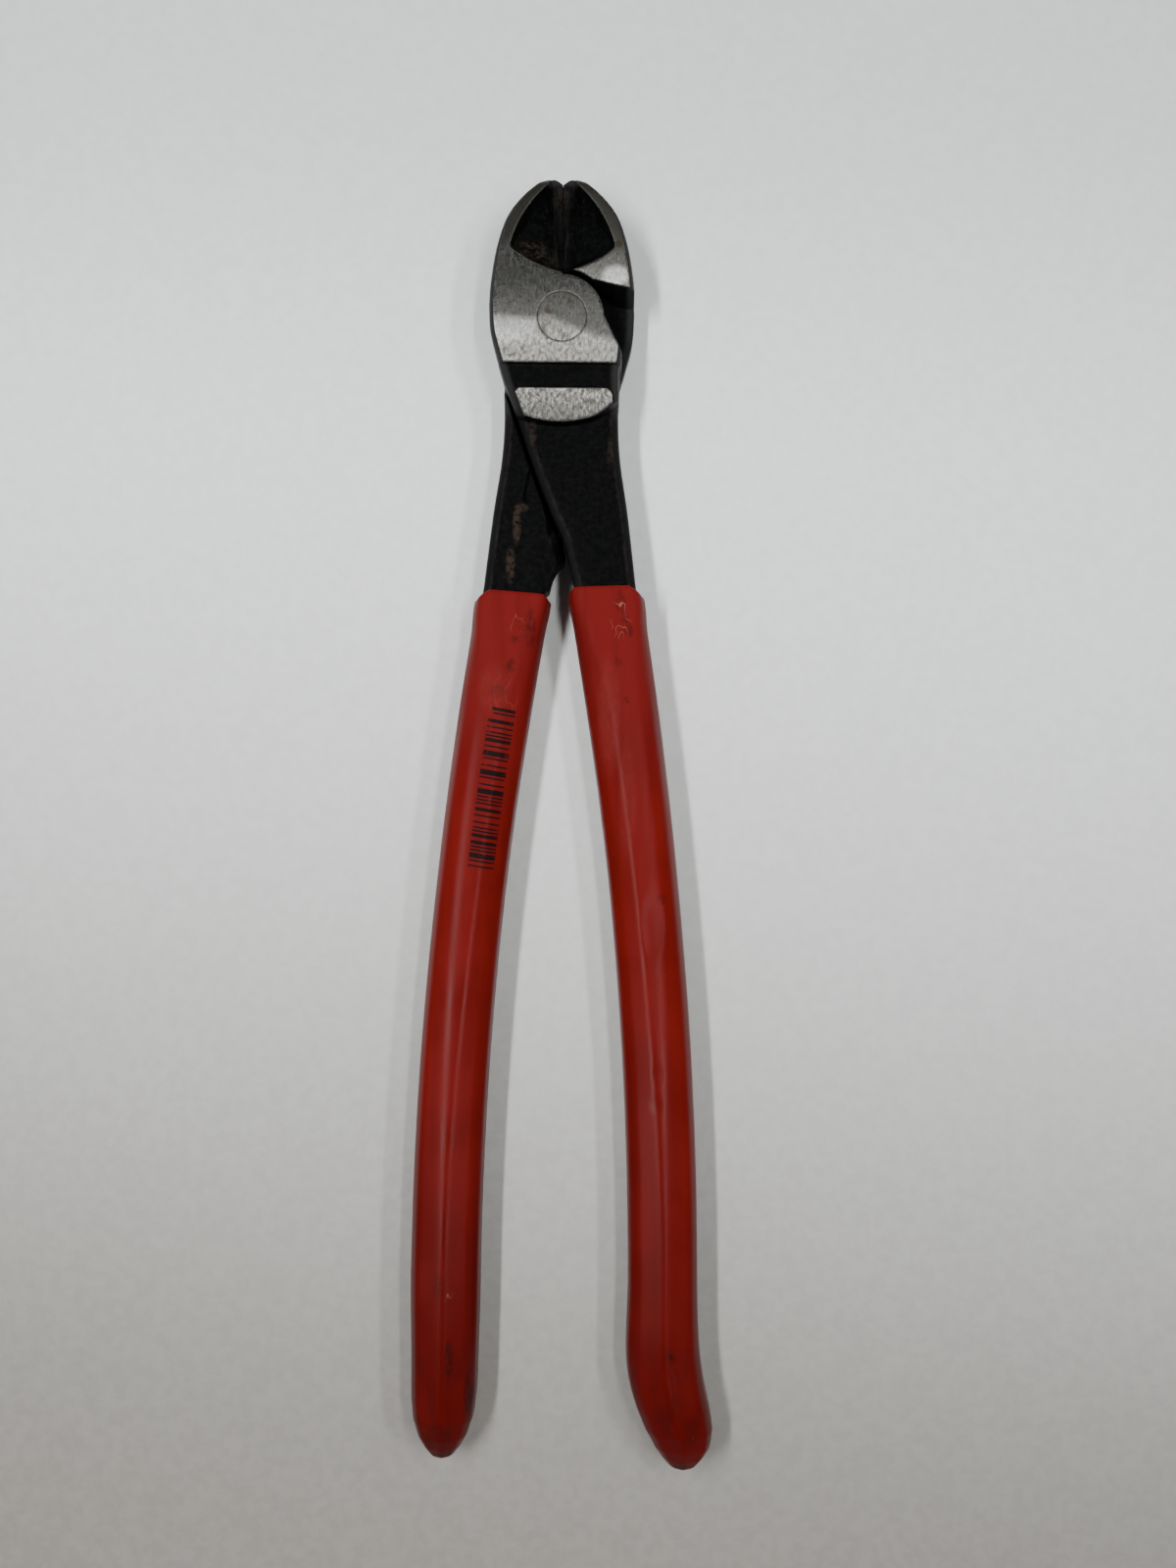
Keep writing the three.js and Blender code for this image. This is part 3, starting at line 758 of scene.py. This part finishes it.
def sleeve_material(name, printed, dark_marks, pale_marks, painted_sheen_marks):
    """Glossy red dip with smears, scratches, patches of painted sheen and a grimy end."""
    s = Shader(name)
    cloud = s.noise(0.06, 4.0, offset=2.0)
    pebble = s.noise(1.6, 3.0, offset=12.0)
    streak = s.noise(0.5, 3.0, (1.0, 0.06, 1.0), offset=22.0)
    scuff = s.step(s.noise(0.45, 5.0, (1.0, 0.5, 1.0), offset=32.0, rough=0.7), 0.58, 0.80)
    ragged = s.noise(1.3, 5.0, (1.0, 0.6, 1.0), offset=52.0, rough=0.7)
    thread = s.math("ABSOLUTE", s.math("SUBTRACT", s.noise(0.38, 1.0, (1.0, 0.7, 1.0), offset=62.0), 0.5))
    color = s.mix(s.step(cloud, 0.35, 0.65), (0.083, 0.0022, 0.0016), (0.103, 0.0028, 0.0019))
    color = s.mix(s.step(s.y, -120, -55), color, (0.098, 0.0045, 0.0040))
    color = s.mix(s.times(s.step(streak, 0.4, 0.7), 0.35), color, (0.062, 0.0017, 0.0013))
    color = s.mix(s.step(s.y, -130, -215, 0.0, 0.55 if printed else 0.42), color, (0.045, 0.0006, 0.0003))
    grimy = s.times(s.step(s.y, -180, -218), s.step(s.noise(0.3, 4.0, (1.0, 0.4, 1.0), offset=42.0), 0.45, 0.7))
    color = s.mix(s.times(grimy, 0.45), color, (0.016, 0.0015, 0.001))
    color = s.mix(s.times(scuff, 0.15), color, (0.04, 0.004, 0.003))
    for x, y, reach_x, reach_y, strength in dark_marks:
        mark = s.times(s.near(x, y, reach_x, reach_y), s.step(ragged, 0.38, 0.60), strength)
        color = s.mix(mark, color, (0.014, 0.0012, 0.0008))
    for x, y, reach_x, reach_y, strength in pale_marks:
        mark = s.times(s.near(x, y, reach_x, reach_y), s.step(thread, 0.010, 0.002), strength)
        color = s.mix(mark, color, (0.22, 0.09, 0.07))
    # Painted sheen: pale patches that stand for a broad highlight.
    for x, y, reach_x, reach_y, strength in painted_sheen_marks:
        mark = s.times(s.near(x, y, reach_x, reach_y), s.step(ragged, 0.2, 0.7), strength)
        color = s.mix(mark, color, (0.17, 0.035, 0.030))
    rough = s.add(s.step(cloud, 0.3, 0.7, 0.28, 0.38), s.times(scuff, 0.12))
    rough = s.add(rough, s.step(s.y, -92, -66, 0.0, 0.22))
    if printed:
        color = s.mix(s.times(printed_bars(s), 0.95), color, (0.0015, 0.0015, 0.0018))
        ripple = 0.0
    else:
        wave = s.noise(1.0, 2.0, (2.4, 0.5, 1.0), offset=72.0)
        ripple = s.times(s.near(13.1, -78.0, 2.4, 6.5), wave, 2.5)
    height = s.add(s.add(s.times(pebble, 0.5), ripple), s.times(streak, 0.3))
    return s.finish(
        Base_Color=color,
        Roughness=rough,
        Normal=s.bump(height, 0.05, 0.5),
        Specular_IOR_Level=0.21,
    )


def printed_bars(s):
    """A plain row of thin and thick bars across the sleeve. The pattern is random."""
    from_middle = s.attribute("across")
    along = s.math("SUBTRACT", s.times(from_middle, BARS_SLOPE), s.y)
    module = s.math("FLOOR", s.times(along, 1 / BAR_MODULE))
    random = s.tree.nodes.new("ShaderNodeTexWhiteNoise")
    random.noise_dimensions = "1D"
    s.feed(random.inputs["W"], module)
    bar = s.math("GREATER_THAN", random.outputs["Value"], 0.5)
    turn = s.math("MODULO", module, 11.0)
    for place in (1.0, 5.0, 8.0):
        bar = s.math("MAXIMUM", bar, s.math("COMPARE", turn, place, 0.5))
    for place in (0.0, 4.0, 7.0):
        bar = s.times(bar, s.math("SUBTRACT", 1.0, s.math("COMPARE", turn, place, 0.5)))
    row = s.times(s.math("GREATER_THAN", along, BARS_TOP), s.math("LESS_THAN", along, BARS_TOP + 30.7))
    width = s.times(s.step(from_middle, -4.35, -4.15), s.step(from_middle, 0.80, 0.60))
    wear = s.noise(0.9, 5.0, (1.0, 0.5, 1.0), offset=61.0, rough=0.65)
    corner = s.times(s.step(along, BARS_TOP + 8, BARS_TOP), s.step(from_middle, -2.5, 0.5), 0.16)
    worn = s.step(s.add(wear, corner), 0.70, 0.58)
    return s.times(bar, row, width, worn, s.step(s.z, 9.0, 9.4))


# ---- stage, camera and light ---------------------------------------------------------------

def make_camera():
    data = bpy.data.cameras.new("camera")
    data.lens = 27.05
    data.sensor_width = 36
    camera = bpy.data.objects.new("camera", data)
    camera.location = Vector((5.75, -88.8, 235.7)) * MM
    camera.rotation_euler = (0, 0, math.radians(0.5))
    bpy.context.scene.collection.objects.link(camera)
    bpy.context.scene.camera = camera


def make_stage():
    s = Shader("floor")
    fibre = s.noise(0.5, 5.0, offset=7.0)
    # Painted shade: the floor darkens and turns warmer towards -Y, and is slightly darker at the far end, standing for
    # how the light falls off.
    fade = s.step(s.add(s.y, s.times(s.x, 0.15)), -10, -250)
    far = s.step(s.y, -30, 60, 1.0, 0.84)
    material = s.finish(
        Base_Color=s.vector("SCALE", s.mix(
            s.step(fibre, 0.3, 0.7),
            s.mix(fade, (0.595, 0.615, 0.61), (0.225, 0.212, 0.195)),
            s.mix(fade, (0.635, 0.658, 0.653), (0.25, 0.236, 0.217))), scale=far),
        Roughness=0.85,
        Normal=s.bump(fibre, 0.1, 0.3),
    )
    floor = make_mesh("floor", [(-1500, -1500, 0), (1500, -1500, 0), (1500, 1500, 0), (-1500, 1500, 0)],
                      [(0, 1, 2, 3)], material, smooth=False)


LAMP_HEIGHT = 0.36
LAMP_WIDTH = 0.024


def make_lamp(name, place, size, power, lights_skin=True, glints=True):
    """A lamp facing the tool. Place and size are in metres."""
    data = bpy.data.lights.new(name, "AREA")
    data.shape = "RECTANGLE"
    data.size, data.size_y = size
    data.energy = power
    light = bpy.data.objects.new(name, data)
    light.location = place
    light.rotation_euler = (0, math.atan2(place[0], place[2]), 0)
    light.visible_diffuse = lights_skin
    light.visible_glossy = glints
    bpy.context.scene.collection.objects.link(light)


def make_row(name, lean, low_y, high_y, power, **seen):
    """A long lamp parallel to the tool, leaning from the vertical to the right by some degrees."""
    place = (LAMP_HEIGHT * math.tan(math.radians(lean)), (low_y + high_y) / 2, LAMP_HEIGHT)
    make_lamp(name, place, (LAMP_WIDTH, high_y - low_y), power, **seen)


def make_world(overhead, around):
    """A dim ceiling with brighter walls."""
    world = bpy.data.worlds.new("studio")
    world.use_nodes = True
    tree = world.node_tree
    place = tree.nodes.new("ShaderNodeTexCoord").outputs["Generated"]
    split = tree.nodes.new("ShaderNodeSeparateXYZ")
    tree.links.new(place, split.inputs[0])
    ramp_node = tree.nodes.new("ShaderNodeMapRange")
    ramp_node.interpolation_type = "SMOOTHSTEP"
    tree.links.new(split.outputs[2], ramp_node.inputs["Value"])
    for name, value in (("From Min", 0.45), ("From Max", 0.85), ("To Min", around), ("To Max", overhead)):
        ramp_node.inputs[name].default_value = value
    tree.nodes["Background"].inputs["Color"].default_value = (0.97, 1, 1, 1)
    tree.links.new(ramp_node.outputs["Result"], tree.nodes["Background"].inputs["Strength"])
    bpy.context.scene.world = world


make_camera()
make_stage()
make_world(0.05, 0.24)
make_row("left_lamp", -26, -0.17, 0.10, 2.4, glints=False)
make_row("right_lamp", 18.5, -0.17, 0.10, 0.85, glints=False)
make_row("far_right_lamp", 36, -0.17, 0.10, 1.1, glints=False)
make_row("left_glint", -26, -0.31, -0.03, 0.5, lights_skin=False)
make_row("right_glint", 18.5, -0.31, -0.03, 0.35, lights_skin=False)
make_lamp("far_glint", (0, 0.114, LAMP_HEIGHT), (0.5, 0.022), 0.11, lights_skin=False)

forged = steel_material("forged_steel", True)
ground = steel_material("ground_steel", False)

upper = make_half("upper_half_forging", False, forged)
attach(upper, "upper_body")
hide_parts("upper_half")
lower = make_half("lower_half_forging", True, forged)
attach(lower, "lower_body")
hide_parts("lower_half")

rivet = make_rivet(ground)
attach(rivet, "lower_body")
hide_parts("pivot_rivet")

right_sleeve = make_sleeve(
    "upper_grip_sleeve", RIGHT, -50.9, 0.033,
    [(18.4, -115.5, 2.0, 5.4, 0.22), (19.6, -143.6, 1.2, 0.8, 0.12), (19.2, -149.6, 1.2, 0.8, 0.12)],
    sleeve_material("red_dip", False, RIGHT_DARK, RIGHT_PALE, RIGHT_PAINTED_SHEEN))
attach(right_sleeve, "upper_body")
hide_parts("upper_half_grip")
left_sleeve = make_sleeve(
    "lower_grip_sleeve", LEFT, -52.1, 0.07, [],
    sleeve_material("red_dip_printed", True, LEFT_DARK, LEFT_PALE, LEFT_PAINTED_SHEEN))
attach(left_sleeve, "lower_body")
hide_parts("lower_half_grip")
